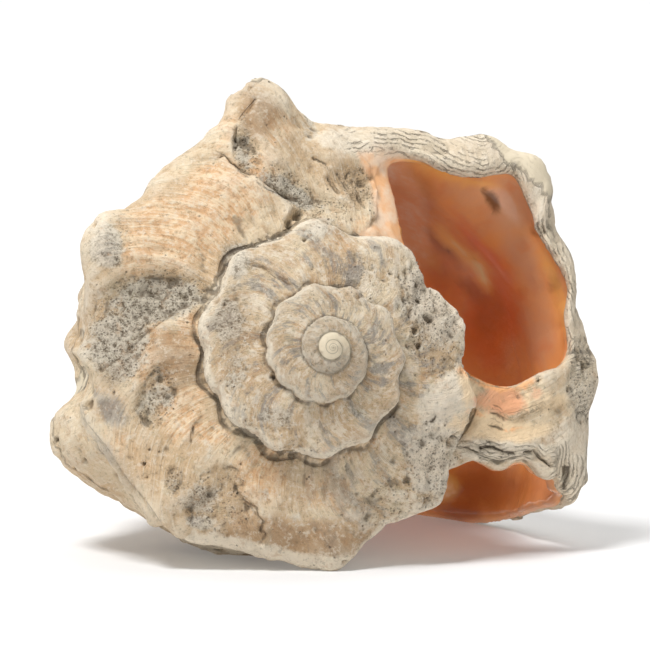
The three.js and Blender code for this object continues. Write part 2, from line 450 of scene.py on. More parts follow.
# the camera's directions, its place from the apex in metres, and the pixels of its 650 x 650 picture
right = np.array((0.9998, -0.0004, 0.0203))
up = np.array((-0.0202, 0.0816, 0.9965))
view = np.array((0.002, 0.9967, -0.0815))
picture = {"back": 0.64516, "left": 0.00153, "above": 0.00355, "middle": 325, "scale": 4000,
           "lens": 221.5, "sensor": 36}
cameraPlace = (np.array(growth["apexPlace"]) - view * picture["back"] - right * picture["left"]
               + up * picture["above"])

# the shell is laid down, and each spot gets its place in the camera's picture
tilt = [math.radians(value) for value in growth["tilt"]]
lying = (Matrix.Translation(growth["apexPlace"]) @ Matrix.Rotation(tilt[0], 4, "X")
         @ Matrix.Rotation(tilt[1], 4, "Y") @ Matrix.Rotation(tilt[2], 4, "Z"))
shell.data.transform(lying)
points = coords(shell.data)


def inPicture(points, normals):
    # the pixel, the same pushed about by noise, and the share that faces the camera
    fromCamera = points - cameraPlace
    away = fromCamera @ view
    x = picture["middle"] + picture["scale"] * (fromCamera @ right) / away
    y = picture["middle"] - picture["scale"] * (fromCamera @ up) / away
    warp = [6 * cloud(points, 0.008, 4, seed) for seed in (3, 9)]
    return x, y, x + warp[0], y + warp[1], ramp(-(normals @ view), 0.0, 0.22)


def ellipseGap(x, y, width, height, turned, fromX, fromY):
    # distance to the middle of an ellipse, in shares of its size
    angle = math.radians(sum(turned))
    c, s = math.cos(angle), math.sin(angle)
    x, y = fromX - x, fromY - y
    return np.hypot((x * c + y * s) / width, (y * c - x * s) / height)


def patches(rows, soft=0.45):
    # soft ellipses in the picture: (x, y, half width, half height, strength, degrees turned if any)
    total = np.zeros(count)
    for x, y, width, height, strength, *turned in rows:
        gap = ellipseGap(x, y, width, height, turned, warpX, warpY)
        total = np.maximum(total, strength * (1 - ramp(gap, 1 - soft, 1 + soft)))
    return total


def lineGap(line, x=None, y=None):
    # distance in pixels to a line through the picture, its side as 1 or -1, and the share along it
    x = pixelX if x is None else x
    y = pixelY if y is None else y
    line = np.array(line, float)
    best = np.full(count, 1e9)
    side = np.ones(count)
    along = np.zeros(count)
    lengths = np.linalg.norm(np.diff(line, axis=0), axis=1)
    done = 0
    for start, end, reach in zip(line, line[1:], lengths):
        step = (end - start) / reach
        share = np.clip((x - start[0]) * step[0] + (y - start[1]) * step[1], 0, reach)
        dx, dy = x - start[0] - step[0] * share, y - start[1] - step[1] * share
        gap = np.hypot(dx, dy)
        closer = gap < best
        best[closer] = gap[closer]
        side[closer] = np.where(step[0] * dy - step[1] * dx > 0, 1, -1)[closer]
        along[closer] = ((done + share) / lengths.sum())[closer]
        done += reach
    return best, side, along


def roughLineGap(line, warpShare, fadeFrom, fadeTo):
    # the signed distance to a line that wavers a little, and a share that fades at its ends
    x, y = (pixel + warpShare * (warp - pixel) for pixel, warp in ((pixelX, warpX), (pixelY, warpY)))
    gap, side, along = lineGap(line, x, y)
    return gap * side, ramp(along, fadeFrom, fadeTo) * ramp(1 - along, fadeFrom, fadeTo)


def ledgeGap(line):
    return roughLineGap(line, 0.35, 0.0, 0.06)


def crackGapTo(line):
    return roughLineGap(line, 0.12, -0.02, 0.08)


def saveOnMesh(named):
    # values of the points, kept on the mesh under their names
    for name, values in named.items():
        made = shell.data.attributes.new(name, "FLOAT", "POINT")
        made.data.foreach_set("value", np.asarray(values, np.float32))


normals = normalsOf(shell.data)
pixelX, pixelY, warpX, warpY, facing = inPicture(points, normals)

# heights in metres; ribs are (turn, width, height in shares of the whorl)
relief = {
    "ribs": ((2.722, 0.03, 0.045), (2.583, 0.03, 0.03), (2.878, 0.03, 0.03), (2.357, 0.03, 0.02),
        (2.23, 0.025, 0.02)),
    "growthHeight": 0.0003,
    "erosionHeight": 0.0007,
    "flakeDepth": 0.0004,
    "lumpiness": 0.0009,
    "seamDepth": 0.00055,
    "insideHeight": 0.0006,
    "smallPitDepth": 0.0004,
    "pitCount": 1600,
    "pastCad": 0.0008,
}
# ledges: (line through the picture, height in mm, how far it reaches in pixels, side)
ledges = (
    (((195, 304), (184, 306), (172, 315), (157, 325), (142, 335), (126, 355), (105, 367), (88, 380),
      (80, 390)), 1.0, 26, -1),
    (((214, 150), (222, 154), (230, 163), (241, 173), (249, 177), (262, 186), (281, 200),
      (296, 208)), 0.8, 22, 1),
    (((256, 98), (244, 112), (238, 120), (235, 140)), 0.6, 12, -1),
    (((236, 489), (241, 501), (253, 508), (258, 520), (262, 531), (266, 541), (258, 549)), 0.8, 20, -1),
    (((201, 417), (192, 422), (190, 443)), 0.7, 6, 1),
    (((243, 260), (262, 265), (280, 277), (300, 288)), 0.6, 12, -1),
    (((330, 130), (352, 146), (366, 165), (376, 190), (378, 215), (366, 234)), 0.6, 14, 1),
    (((487, 412), (497, 413), (507, 419), (514, 420), (521, 415), (534, 410), (546, 404),
      (556, 400)), 0.6, 8, -1),
    (((464, 443), (480, 446), (494, 444), (503, 449), (520, 451), (534, 449), (541, 458),
      (550, 466)), 0.9, 12, -1),
    (((404, 262), (409, 285), (413, 305), (409, 325), (404, 345)), 0.7, 7, -1),
    (((78, 396), (86, 422), (107, 447), (126, 478), (146, 501), (165, 528)), 1.7, 22, -1),
    (((341, 520), (346, 508), (360, 502), (376, 505), (383, 516), (374, 529), (356, 533), (343, 526),
      (341, 520)), 0.5, 16, 1),
)
# cracks: (line, width in pixels, depth in mm)
cracks = (
    (((312, 157), (320, 161), (328, 166)), 1.6, 0.7),
    (((327, 175), (333, 184), (340, 194)), 1.3, 0.6),
    (((337, 171), (343, 181), (350, 192)), 1.2, 0.5),
    (((350, 178), (357, 193), (366, 210)), 1.3, 0.5),
    (((142, 278), (153, 276), (165, 274)), 1.0, 0.25),
    (((214, 150), (224, 155), (232, 165)), 1.1, 0.4),
    (((256, 98), (244, 112), (238, 120)), 1.1, 0.5),
    (((234, 484), (237, 492), (244, 500), (248, 503), (256, 507), (258, 516), (263, 521), (261, 530),
      (266, 534), (264, 542)), 1.9, 0.7),
    (((491, 404), (499, 407), (507, 413), (515, 412), (526, 408), (545, 401)), 1.1, 0.35),
    (((488, 412), (497, 413), (507, 419), (514, 420), (521, 415), (534, 410), (546, 404)), 1.2, 0.45),
    (((488, 425), (496, 426), (504, 429)), 1.6, 0.35),
    (((460, 440), (470, 441), (478, 445), (486, 443), (493, 440)), 1.0, 0.6),
    (((478, 449), (493, 446), (503, 451), (516, 452)), 1.2, 0.8),
    (((522, 452), (534, 449), (541, 459), (550, 467)), 1.4, 0.9),
    (((470, 451), (484, 457), (500, 461), (515, 458), (530, 458)), 0.8, 0.6),
    (((456, 446), (468, 448), (480, 454)), 0.8, 0.5),
    (((243, 260), (262, 265), (280, 277), (300, 288)), 0.8, 0.25),
    (((476, 408), (472, 420), (465, 431), (457, 441)), 2.4, 1.2),
    (((193, 425), (191, 434), (190, 443)), 1.3, 0.5),
    (((233, 163), (241, 173), (249, 178)), 1.3, 0.6),
    (((255, 181), (268, 190), (283, 196), (300, 199)), 1.5, 0.6),
    (((568, 464), (567, 476), (564, 490)), 4.6, 1.7),
    (((537, 222), (538, 228), (541, 233)), 1.8, 0.9),
    (((436, 414), (435, 419), (431, 422)), 1.4, 0.6),
    (((578, 345), (582, 355), (590, 366)), 2.0, 1.0),
    (((80, 398), (86, 422), (107, 447), (126, 478), (146, 501), (165, 528)), 1.0, 0.25),
)
# rises and dents: (x, y, half width, half height, height in mm, degrees turned if any)
bumps = (
    (488, 138, 26, 16, 0.5), (440, 144, 14, 9, -0.6), (375, 128, 40, 12, 0.5), (536, 180, 16, 18, 1.4),
    (252, 84, 22, 14, -1.3), (84, 456, 24, 30, 0.8, -30), (240, 130, 12, 40, -0.7, -10),
    (300, 110, 14, 26, -0.4, 20), (330, 150, 22, 14, 0.6, 30), (150, 300, 40, 16, -0.6, -20),
    (180, 345, 20, 30, 0.5, 30), (150, 395, 16, 24, -0.5, 20), (446, 400, 20, 26, 0.6),
    (505, 392, 20, 12, -0.7), (540, 205, 6, 26, 0.7, 8), (545, 470, 12, 10, 0.8),
)
# parts pushed over, both walls alike: (x, y, half width, half height, mm to the right, mm up)
shifts = (
    (62, 384, 30, 22, 2.9, 0), (60, 322, 24, 18, 1.3, 0), (78, 250, 22, 34, 1.1, 0),
    (72, 440, 20, 30, -0.6, 0), (128, 196, 22, 18, 1.0, -1.2), (202, 132, 20, 26, 1.2, -0.9),
    (220, 98, 22, 22, 1.2, -2.0), (302, 102, 22, 20, 0.6, -2.3), (352, 116, 34, 16, 0, -1.4),
    (440, 134, 30, 16, 0, -0.8), (484, 132, 16, 14, 0, 0.6), (508, 175, 32, 30, 1.5, 2.9),
    (536, 184, 14, 16, -0.3, 0), (526, 232, 18, 28, 1.6, 0), (556, 272, 26, 26, 2.3, 0.3),
    (552, 312, 15, 26, 1.0, 0), (592, 334, 20, 16, -0.9, 0), (465, 462, 12, 10, 0, 0.8),
    (526, 470, 11, 9, 0, 1.3), (501, 470, 10, 8, 0, -0.5), (446, 474, 13, 20, -1.3, 0),
    (579, 500, 14, 12, -0.5, 0.8),
)
# pits: (x, y, half width, half height, depth in mm, degrees turned if any)
pits = (
    (92, 228, 2.2, 4.5, 0.9, 20), (249, 89, 4.2, 1.5, 0.6, -25), (88, 405, 4, 7, 1.1, -20),
    (114, 393, 1.8, 2.2, 0.6), (75, 405, 4, 1.0, 0.4, -8), (89, 458, 2.6, 2.6, 0.8),
    (144, 464, 2.2, 2.6, 0.8), (149, 450, 1.6, 1.8, 0.6), (147, 477, 1.7, 1.9, 0.6), (79, 467, 2, 2, 0.6),
    (59, 440, 2.5, 3.5, 0.8), (240, 463, 1.6, 1.8, 0.7), (430, 318, 7, 3.5, 1.1, 25),
    (418, 283, 2.5, 3.5, 0.7), (420, 299, 3, 2, 0.6, 20), (415, 330, 3, 5, 0.8, 10),
    (420, 345, 3, 4, 0.7), (412, 312, 2.5, 3.5, 0.6), (391, 273, 1.8, 1.4, 0.6),
    (305, 238, 2.5, 3, 0.7, 30), (272, 378, 3, 3, 0.8), (429, 505, 3.2, 6.5, 1.6, 35),
    (345, 562, 4, 2.5, 1.0), (427, 423, 1.6, 2.6, 0.5, 40), (235, 138, 2.2, 2.6, 0.8),
    (236, 147, 2, 2, 0.6), (539, 380, 2, 3, 0.9, 20), (588, 366, 4, 6, 1.2, 10),
    (582, 356, 2.5, 4, 0.9, 20), (361, 183, 6, 5, 0.5), (312, 268, 1.6, 1.6, 0.5),
    (224, 303, 1.8, 2.4, 0.5), (298, 214, 8, 5, 1.5, -25), (289, 222, 4, 5, 1.3, 20),
    (455, 440, 5, 9, 1.4, 35), (176, 492, 3, 5, 0.6),
)

lipBend = {"amount": 0.32, "from": 0.12, "reach": 0.45, "toDepth": 0.9}
height = np.zeros(count)
millimetre = 0.001
onSkin = 1 - np.clip(insideShare * 1.6, 0, 1)
onRamp = onSkin * ramp(-depth, -0.56, -0.44)
scaleShare = size / sizeAt(3)

# ribs that run from the suture to the knobs
for at, width, share in relief["ribs"]:
    height += size * share * bell(turn, at, width) * ramp(radius, 0.5, 0.9) * onRamp


def lipTurn():
    # growth lines bend as the lip does
    bend = lipBend["amount"] * np.clip(length - lipBend["from"], 0, lipBend["reach"]) ** 2
    bend = bend * (depth < lipBend["toDepth"])
    tongueBend = tongue["turns"] * bell(radius, tongue["radius"], tongue["width"])
    bend = bend - tongueBend * ramp(turn, 2.7, 3.05) * (depth < 0.6)
    return turn + bend + 0.0016 * noise(points, 0.006, 4)


growthTurn = lipTurn()
growthSpots = np.stack((growthTurn * 0.6, length * 0.02, np.full(count, 0.3)), -1)
growthLines = noise(growthSpots, 0.0075, 1) + 0.6 * noise(growthSpots, 0.0032, 2)
eroded = patches((
    (150, 298, 52, 24, 1, -8), (120, 335, 36, 44, 1), (242, 152, 12, 25, 1, -20),
    (290, 192, 36, 12, 1, 28), (155, 393, 17, 30, 1, 20), (176, 478, 9, 15, 0.8), (215, 500, 36, 32, 0.6),
    (432, 320, 30, 62, 0.9, -20), (435, 470, 28, 42, 0.8, 10), (330, 210, 26, 12, 0.6, 20),
    (362, 185, 22, 22, 0.7), (390, 500, 34, 26, 0.5), (285, 440, 35, 20, 0.4, 20),
    (235, 340, 26, 60, 0.35), (360, 280, 30, 25, 0.4), (585, 380, 16, 40, 0.8), (445, 250, 18, 20, 0.6),
    (118, 250, 14, 30, 0.4)))
eroded = np.maximum(eroded * facing,
                    (1 - facing) * ramp(cloud(points, 0.022, 3, 8), 0.0, 0.5) * 0.8) * onSkin
smoothCap = ramp(turn, -1.45, -0.85)
wornSkin = onSkin * smoothCap
growthShare = np.clip(scaleShare * 1.5, 0.2, 1) * wornSkin * (1 - 0.6 * eroded)
height += growthShare * relief["growthHeight"] * growthLines
rough = cloud(points, 0.0042, 5, 12)
height += relief["erosionHeight"] * wornSkin * (rough * (0.2 + 0.7 * eroded) - 0.3 * eroded)
height += relief["lumpiness"] * wornSkin * cloud(points, 0.011, 3, 20) * np.clip(scaleShare * 1.5, 0, 1)
height -= relief["flakeDepth"] * wornSkin * ramp(eroded + 0.3 * cloud(points, 0.004, 3, 50), 0.42, 0.56)
for x, y, width, tall, rise, *turned in bumps:
    height += millimetre * rise * patches(((x, y, width, tall, 1, *turned),), 0.7) * onSkin


farAway = 9
seam = {"radius": 0.915, "outwards": 0.0002, "toDepth": 0.42, "fromTurn": -1.2, "width": 0.0007}


def seamGap():
    # the later whorl meets the earlier one in a deep groove; the distance to its middle
    edgeRadius = sizeAt(turn - 1) * (seam["radius"] + knobHeight(turn - 1))
    gap = radius * size - edgeRadius - seam["outwards"]
    return gap + farAway * (depth > seam["toDepth"]) + farAway * (turn < seam["fromTurn"])


def seamShare():
    return bell(seamGap(), 0, seam["width"] * np.clip(size / sizeAt(1.6), 0.35, 1)) * onSkin


height -= relief["seamDepth"] * np.clip(scaleShare * 2, 0.25, 1) * seamShare()

for line, rise, reach, side in ledges:
    gap, ends = ledgeGap(line)
    gap = gap * side
    slope = ramp(gap, -1.0, 1.4) * np.exp(-np.clip(gap, 0, None) / reach)
    height += millimetre * rise * slope * ends * facing
for line, width, deep in cracks:
    gap, ends = crackGapTo(line)
    height -= millimetre * deep * bell(gap, 0, max(width, 1.7)) * ends * facing * onSkin


for x, y, width, tall, deep, *turned in pits:
    gap = ellipseGap(x, y, width, tall, turned, pixelX, pixelY)
    height -= millimetre * deep * (1 - ramp(gap, 0.55, 1.25)) * facing * onSkin

# small pits scattered where the surface is eroded
finder = KDTree(count)
for index, spot in enumerate(points):
    finder.insert(spot, index)
finder.balance()
seeds = np.random.default_rng(11)
chance = (0.05 + eroded) * onSkin * smoothCap * ramp(noise(points, 0.008, 31), -0.6, 0.5)
pitShade = np.zeros(count)
for index in seeds.choice(count, relief["pitCount"], replace=False, p=chance / chance.sum()):
    reach = 0.00035 + 0.0004 * seeds.random() ** 3
    for _, near, gap in finder.find_range(points[index], reach * 1.6):
        shade = 1 - min(1, max(0, gap / reach - 0.3) / 1.2)
        pitShade[near] = max(pitShade[near], shade * min(1, reach / 0.0007))
height -= relief["smallPitDepth"] * pitShade

for x, y, width, tall, across, rise in shifts:
    weight = patches(((x, y, width, tall, 1),), 0.8)[:, None] * millimetre
    points = points + (right * across + up * rise) * weight

# folds and dents of the inside
height += relief["insideHeight"] * np.clip(insideShare, 0, 1) * cloud(points, 0.02, 2, 40)

low, high = (np.array(corner) for corner in cadBox)
points = np.clip(points + normals * height[:, None], low - relief["pastCad"], high + relief["pastCad"])
points[:, 2] = np.maximum(points[:, 2], 0)
setCoords(shell.data, points)
print("relief made")

# the surface is thinned, and what depends on its place is worked out again
kept = {"inside": insideShare, "edge": edgeShare, "pitShade": pitShade, "eroded": eroded}
saveOnMesh(kept)
withModifier(shell, "DECIMATE", ratio=min(1.0, growth["faces"] / (2 * len(shell.data.polygons))))
print("thinned", len(shell.data.vertices), len(shell.data.polygons))


def readBack(name):
    values = np.empty(len(shell.data.vertices), np.float32)
    attribute = shell.data.attributes[name]
    attribute.data.foreach_get("value", values)
    shell.data.attributes.remove(attribute)
    return values.astype(float)


insideShare, edgeShare, pitShade, eroded = (readBack(name) for name in kept)
points = coords(shell.data)
count = len(points)
edgeStart, edgeEnd = edgesOf(shell.data)
degree = np.maximum(1, np.bincount(edgeStart, minlength=count) + np.bincount(edgeEnd, minlength=count))
normals = normalsOf(shell.data)
pixelX, pixelY, warpX, warpY, facing = inPicture(points, normals)
upright = np.array(lying.inverted())
spots = points @ upright[:3, :3].T + upright[:3, 3]
turn, radius, depth, length = locate(spots, skinTable, 1, *skinTurns)[1:]
size = sizeAt(turn)
onSkin = 1 - np.clip(insideShare * 1.6, 0, 1)
growthTurn = lipTurn()

# where the colours lie, as soft ellipses in the picture
colourAreas = {
    "peach": (
        (190, 222, 88, 40, 0.9, -28), (225, 182, 56, 26, 0.85, -20), (272, 126, 24, 24, 0.75),
        (224, 128, 11, 26, 0.6, 30), (152, 352, 34, 36, 0.9, -30), (188, 340, 16, 30, 0.9),
        (180, 410, 30, 34, 0.8, 30), (120, 440, 22, 24, 0.55, 30), (216, 436, 22, 16, 0.85, 20),
        (262, 476, 30, 34, 0.85, 10), (240, 520, 20, 20, 0.5), (320, 490, 34, 24, 0.6),
        (300, 540, 60, 16, 0.5), (332, 244, 24, 14, 0.6, 10), (372, 232, 22, 16, 0.6, 20),
        (345, 208, 20, 12, 0.4, 20), (300, 420, 14, 10, 0.45), (254, 400, 12, 14, 0.3),
        (340, 290, 22, 12, 0.5), (300, 330, 12, 26, 0.5), (385, 330, 18, 30, 0.35),
        (330, 170, 20, 30, 0.3), (150, 470, 24, 20, 0.5, 30), (404, 398, 10, 9, 0.5),
        (374, 442, 9, 7, 0.8), (325, 456, 9, 6, 0.8), (222, 505, 20, 16, 0.35)),
    "grey": (
        (150, 300, 50, 22, 0.8, -8), (118, 340, 34, 40, 0.75), (106, 250, 16, 24, 0.8),
        (241, 150, 13, 22, 0.55, -20), (290, 194, 38, 10, 0.75, 28), (236, 262, 24, 18, 0.7),
        (226, 322, 16, 24, 0.8), (236, 374, 16, 22, 0.65), (276, 420, 22, 12, 0.6, 20),
        (262, 440, 14, 12, 0.4), (316, 232, 22, 16, 0.45), (430, 330, 28, 50, 0.35),
        (200, 496, 26, 20, 0.65), (172, 478, 9, 14, 0.6), (155, 393, 16, 30, 0.55, 20),
        (265, 500, 12, 14, 0.4), (300, 505, 20, 20, 0.4), (200, 522, 16, 10, 0.7),
        (210, 450, 10, 18, 0.5), (308, 126, 9, 16, 0.5), (350, 405, 40, 22, 0.4), (95, 225, 10, 18, 0.4),
        (290, 380, 16, 12, 0.4), (400, 300, 10, 30, 0.4)),
    "slate": (
        (113, 405, 15, 22, 0.9, -40), (103, 447, 10, 20, 0.7, -30), (106, 250, 13, 18, 0.6),
        (236, 272, 14, 12, 0.5), (224, 316, 12, 18, 0.5), (425, 380, 8, 16, 0.6), (195, 520, 12, 8, 0.6),
        (238, 380, 9, 12, 0.4), (265, 406, 16, 10, 0.5, 30), (400, 250, 14, 10, 0.35, 30),
        (436, 345, 8, 14, 0.4), (310, 505, 14, 12, 0.4)),
    "chalk": (
        (432, 300, 28, 60, 0.75, -25), (446, 408, 26, 34, 1), (432, 460, 24, 40, 0.85),
        (352, 140, 40, 14, 0.7, 5), (300, 96, 20, 12, 0.4), (262, 90, 18, 10, 0.6),
        (405, 248, 26, 14, 0.5, 20), (96, 218, 18, 14, 0.6), (90, 320, 18, 60, 0.5),
        (320, 225, 18, 10, 0.5), (362, 518, 22, 16, 0.45), (80, 425, 18, 22, 0.4),
        (585, 420, 22, 70, 0.6), (500, 450, 50, 16, 0.8), (538, 205, 9, 28, 1, 5),
        (560, 440, 24, 20, 0.7), (452, 146, 60, 12, 0.3, 8), (530, 166, 24, 18, 0.7, 40)),
    # partly painted shade: the tan patches at the knob top and along the underside darken as shade; the
    # others are the shell's own tan
    "tan": (
        (172, 352, 24, 34, 0.8, -30), (262, 480, 30, 34, 0.6, 10), (258, 112, 20, 24, 1),
        (300, 540, 100, 26, 0.9), (190, 360, 14, 30, 0.6), (280, 500, 60, 16, 0.5),
        (220, 505, 40, 20, 0.45), (205, 230, 40, 16, 0.35, -25), (112, 262, 14, 10, 0.3),
        (345, 232, 14, 14, 0.5), (330, 420, 30, 20, 0.35), (250, 385, 16, 16, 0.3),
        (330, 452, 50, 14, 0.5), (110, 385, 20, 14, 0.5, -20), (420, 335, 12, 30, 0.3),
        (150, 440, 20, 20, 0.3), (130, 500, 24, 14, 0.4), (300, 330, 10, 20, 0.3)),
    # painted shade: patches darkened where the shell lies in shade, at the knob top, the wedge, the left
    # side and the underside
    "shade": ((262, 112, 24, 30, 0.9), (178, 360, 20, 36, 0.8, -20), (232, 330, 24, 60, 0.6),
        (300, 545, 110, 24, 0.7), (210, 500, 50, 30, 0.5), (100, 470, 50, 30, 0.5, 30),
        (300, 425, 40, 20, 0.5), (300, 480, 50, 20, 0.6), (100, 290, 20, 60, 0.4),
        (265, 235, 20, 14, 0.4), (590, 400, 10, 60, 0.3), (110, 375, 24, 14, 0.5)),
    "creamBand": ((500, 426, 44, 13, 0.9, 3), (545, 400, 20, 12, 0.6), (470, 390, 10, 22, 0.8),
        (524, 395, 4, 16, 0.8, 10)),
    # partly painted highlight: the bright streak inside at the upper left; the other amber patches are the
    # inside's own colour
    "amberAndHighlight": ((461, 251, 34, 8, 1, 50), (478, 276, 16, 6, 1, 60), (444, 490, 10, 14, 0.8),
        (425, 256, 16, 7, 0.35, 60), (556, 276, 26, 5, 0.4, 68), (566, 316, 22, 4, 0.4, 78),
        (424, 162, 42, 6, 0.7, 26), (470, 182, 26, 4, 0.4, 10)),
    # painted highlight: the bright spot on the streak inside
    "paintedHighlight": ((479, 276, 12, 4, 1, 60), (461, 248, 12, 3, 0.5, 52)),
    "rust": ((486, 322, 24, 44, 1, -10), (440, 285, 34, 20, 0.5, 40),
        (476, 490, 60, 20, 0.5), (462, 512, 20, 10, 0.6)),
    "red": ((484, 252, 36, 8, 1, 48), (508, 298, 13, 40, 0.8, -12), (472, 228, 22, 5, 0.5, 45)),
    "mauve": ((518, 205, 28, 34, 0.8), (525, 262, 44, 13, 0.8, 62), (470, 195, 38, 10, 0.6, 16),
        (540, 325, 18, 40, 0.6), (545, 490, 14, 14, 0.6), (500, 480, 40, 12, 0.25)),
    # mostly painted shade: dark brown where the inside lies in shade, with a few brown patches of its own
    # colour
    "brownAndShade": ((412, 195, 20, 30, 0.6, -20), (436, 240, 32, 8, 0.9, 50), (470, 290, 22, 7, 0.7, 40),
        (488, 312, 14, 22, 0.5), (462, 512, 24, 10, 0.9), (430, 262, 14, 26, 0.5, -30),
        (558, 283, 5, 8, 0.7), (490, 490, 60, 22, 0.9), (536, 236, 5, 4, 0.8, 40),
        (526, 178, 4, 7, 0.5, -30)),
    "stain": ((496, 203, 11, 5, 1, 52), (487, 194, 6, 4, 0.7, 40), (472, 211, 2, 2, 0.5),
        (446, 253, 3, 3, 0.6), (475, 264, 2.5, 2.5, 0.5)),
    "terracotta": ((503, 398, 19, 15, 1, 10), (484, 404, 12, 10, 0.6, 10), (536, 388, 10, 8, 0.5)),
    "rimOrange": ((490, 383, 16, 6, 1, 12), (474, 378, 16, 8, 0.7, 30), (525, 381, 16, 5, 0.7, -20),
        (480, 416, 12, 4, 0.5, 10), (510, 424, 18, 3, 0.5, -8)),
}
insideAreas = ("amberAndHighlight", "paintedHighlight", "rust", "red", "mauve", "brownAndShade", "stain")
areas = {name: patches(rows, 0.6) * (facing if name in insideAreas else facing * onSkin)
         for name, rows in colourAreas.items()}

# inside, for certain: the shell's skin doesn't show there
surelyInside = ((492, 215, 20, 26, 1, -30), (470, 260, 30, 50, 1, -20))
insideShare = np.maximum(insideShare, patches(surelyInside, 0.3) * facing)

# the pink fold beside the hole
foldEdge = ((330, 130), (352, 146), (362, 170), (369, 190), (374, 220), (352, 236))
foldArea = ((398, 205, 26, 62, 1, -16), (372, 162, 26, 14, 1, 20), (388, 238, 30, 14, 0.8, 10))
gap, side, along = lineGap(foldEdge)
areas["fold"] = patches(foldArea, 0.25) * facing * ramp(-gap * side, -1, 5) * (turn > 2.4)

# painted shade: spots that lie under their surroundings, the low sides of ledges, the suture and the pits
# are darkened as crevices; raised spots above them are marked to be painted paler
fullDepth = {"near": 0.00022, "wide": 0.0008}
near = ((spread(points, 3) - points) * normals).sum(1) / fullDepth["near"]
wide = ((spread(points, 16) - points) * normals).sum(1) / fullDepth["wide"]
crevice = np.clip(0.5 * ramp(near, 0.15, 1.0) + 0.7 * ramp(wide, 0.05, 0.9), 0, 1) * onSkin
# painted shade below each ledge, on its low side
ledgeShade = np.zeros(count)
for line, rise, reach, side in ledges:
    gap, ends = ledgeGap(line)
    gap = gap * side
    shade = np.maximum(bell(gap, -1.0, 1.6), 0.6 * (gap < 0) * np.exp(-np.abs(gap) / (4 * rise)))
    ledgeShade = np.maximum(ledgeShade, shade * ends * facing * min(1, rise))
areas["crevice"] = np.maximum.reduce((crevice, seamShare() * 0.4, ledgeShade * 0.6, pitShade * 0.45))
areas["raised"] = ramp(-wide, 0.1, 0.8) * onSkin

# cracks as a signed distance and how near they are, so that a line can be finer than the mesh; how dark the
# cracks and pits are painted is painted shade in them
crackGap = np.full(count, 9.0)
crackNear = np.zeros(count)
crackDark = np.zeros(count)
for line, width, deep in cracks:
    gap, ends = crackGapTo(line)
    near = bell(gap, 0, 5) * ends * facing * onSkin
    closer = near > crackNear
    crackNear[closer] = near[closer]
    crackGap[closer] = (gap / width)[closer]
    crackDark[closer] = min(1, 0.15 + deep * 0.85)
for x, y, width, tall, deep, *turned in pits:
    gap = ellipseGap(x, y, width, tall, turned, pixelX, pixelY)
    shade = (1 - ramp(gap, 0.5, 1.5)) * facing * onSkin
    closer = shade > crackNear
    crackNear[closer] = (shade * 0.5)[closer]
    crackGap[closer] = (gap * 0.9)[closer]
    crackDark[closer] = 0.8
areas["crackGap"], areas["crackNear"], areas["crackDark"] = crackGap, crackNear, crackDark

# layers of growth that show at the lip and round the hole
rimLine = ((330, 168), (352, 155), (375, 149), (400, 148), (423, 156), (444, 169), (462, 178), (484, 181),
    (501, 179), (519, 165), (530, 178))
sideLine = ((527, 178), (530, 200), (536, 226), (547, 250), (560, 280), (570, 310), (573, 340), (560, 366))
topGap, sideGap = lineGap(rimLine)[0], lineGap(sideLine)[0]
layerAreas = ((440, 150, 100, 26, 1, 12), (375, 140, 40, 16, 1), (490, 148, 40, 28, 1),
    (530, 166, 26, 20, 0.9, 40), (550, 230, 20, 70, 1, -15), (578, 330, 16, 60, 1, -8),
    (500, 451, 56, 14, 1, 3), (578, 450, 16, 60, 1), (550, 460, 22, 20, 0.8))
unseenLayers = (1 - facing) * np.clip(edgeShare * 1.5 + bell(turn, 3.06, 0.03), 0, 1)
areas["layers"] = np.maximum(patches(layerAreas, 0.3) * facing, unseenLayers) * onSkin
layering = {"cornerX": 557, "lowY": 352, "rimStep": 3.6, "lowStep": 3.4, "perTurn": 230}
bridgeLine = ((436, 490), (446, 474), (456, 460), (466, 455), (480, 460), (500, 467), (515, 463),
    (528, 460), (534, 470), (545, 476), (558, 466))
cornerLine = ((592, 420), (590, 440), (589, 465), (585, 482), (574, 498), (556, 507))
bridgeGap, cornerGap = lineGap(bridgeLine)[0], lineGap(cornerLine)[0]
lowPhase = np.where(pixelX > layering["cornerX"], cornerGap, bridgeGap) / layering["lowStep"]
rimPhase = np.where(pixelY < layering["lowY"], np.minimum(topGap, sideGap) / layering["rimStep"], lowPhase)
layerPhase = np.where(facing > 0.3, rimPhase, growthTurn * layering["perTurn"])
# painted shade: patches where the suture's groove is painted darker
darkSeams = ((250, 240, 50, 34, 1, -40), (203, 300, 16, 40, 0.5, 20), (200, 350, 10, 30, 1),
    (214, 405, 18, 26, 0.6, -30), (280, 460, 44, 12, 0.5, 10), (400, 430, 20, 30, 0.5, 30),
    (250, 350, 16, 50, 0.4), (300, 395, 50, 16, 0.4, 20))
areas.update(layerPhase=layerPhase, inside=insideShare, eroded=eroded, growthTurn=growthTurn, length=length,
             oldness=1 - ramp(turn, -1.15, -0.75), young=1 - ramp(turn, -0.3, 0.5),
             early=1 - ramp(turn, 2.15, 2.35), shoulder=bell(radius, 0.905, 0.035) * (turn < 2.35) * onSkin,
             seamGap=seamGap() / millimetre, seamDark=patches(darkSeams) * facing)
# where each spot lies across the coiling axis, for the fine spiral of the first whorls
fromAxis = np.array([lying.inverted() @ Vector(spot) for spot in points])
areas.update(acrossX=fromAxis[:, 0] / millimetre, acrossY=fromAxis[:, 1] / millimetre)
saveOnMesh(areas)
print("areas set")


